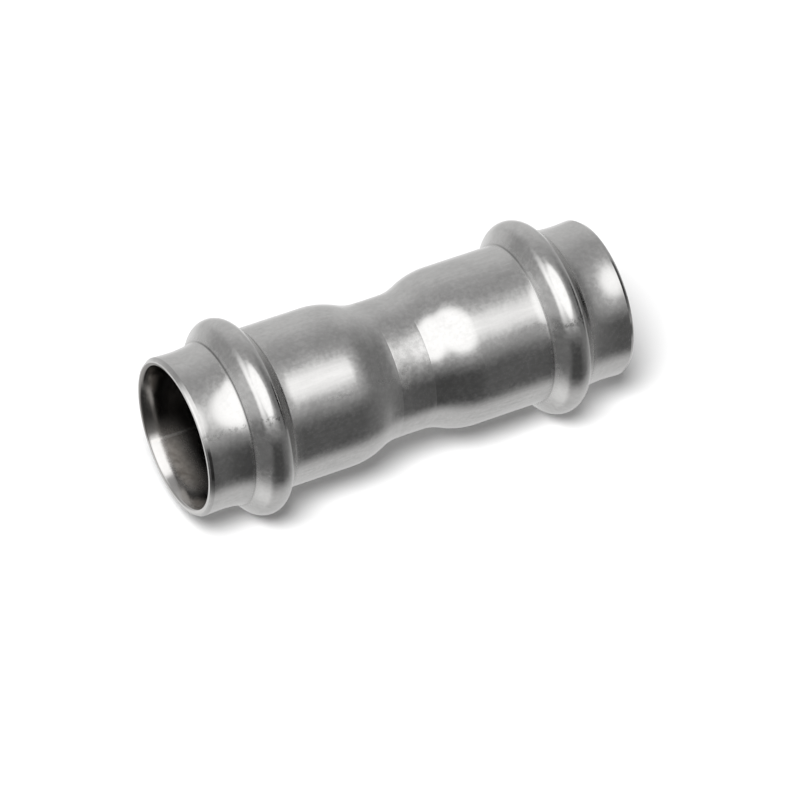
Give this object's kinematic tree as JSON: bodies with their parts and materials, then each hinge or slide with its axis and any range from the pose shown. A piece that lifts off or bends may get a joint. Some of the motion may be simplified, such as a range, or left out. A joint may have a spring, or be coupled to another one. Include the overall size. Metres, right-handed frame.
{
  "type": "press fitting",
  "caption": "Straight stainless steel press coupling for 15 mm tube: two sockets with a rounded bead near each mouth, a rubber seal ring inside each bead and a narrow waist as the tube stop.",
  "frame": {"origin": "centre of the lower mouth, in the plane of its rim", "axes": "+Z along the tube axis from the lower mouth to the upper mouth; X and Y are any two directions across it"},
  "size_m": [0.0216, 0.0216, 0.0508],
  "materials": {
    "steel": "pickled stainless steel, satin",
    "seal_rubber": "smooth black moulded rubber"
  },
  "bodies": {
    "root": {"body": "steel", "lower_seal": "seal_rubber", "upper_seal": "seal_rubber"}
  },
  "joints": []
}
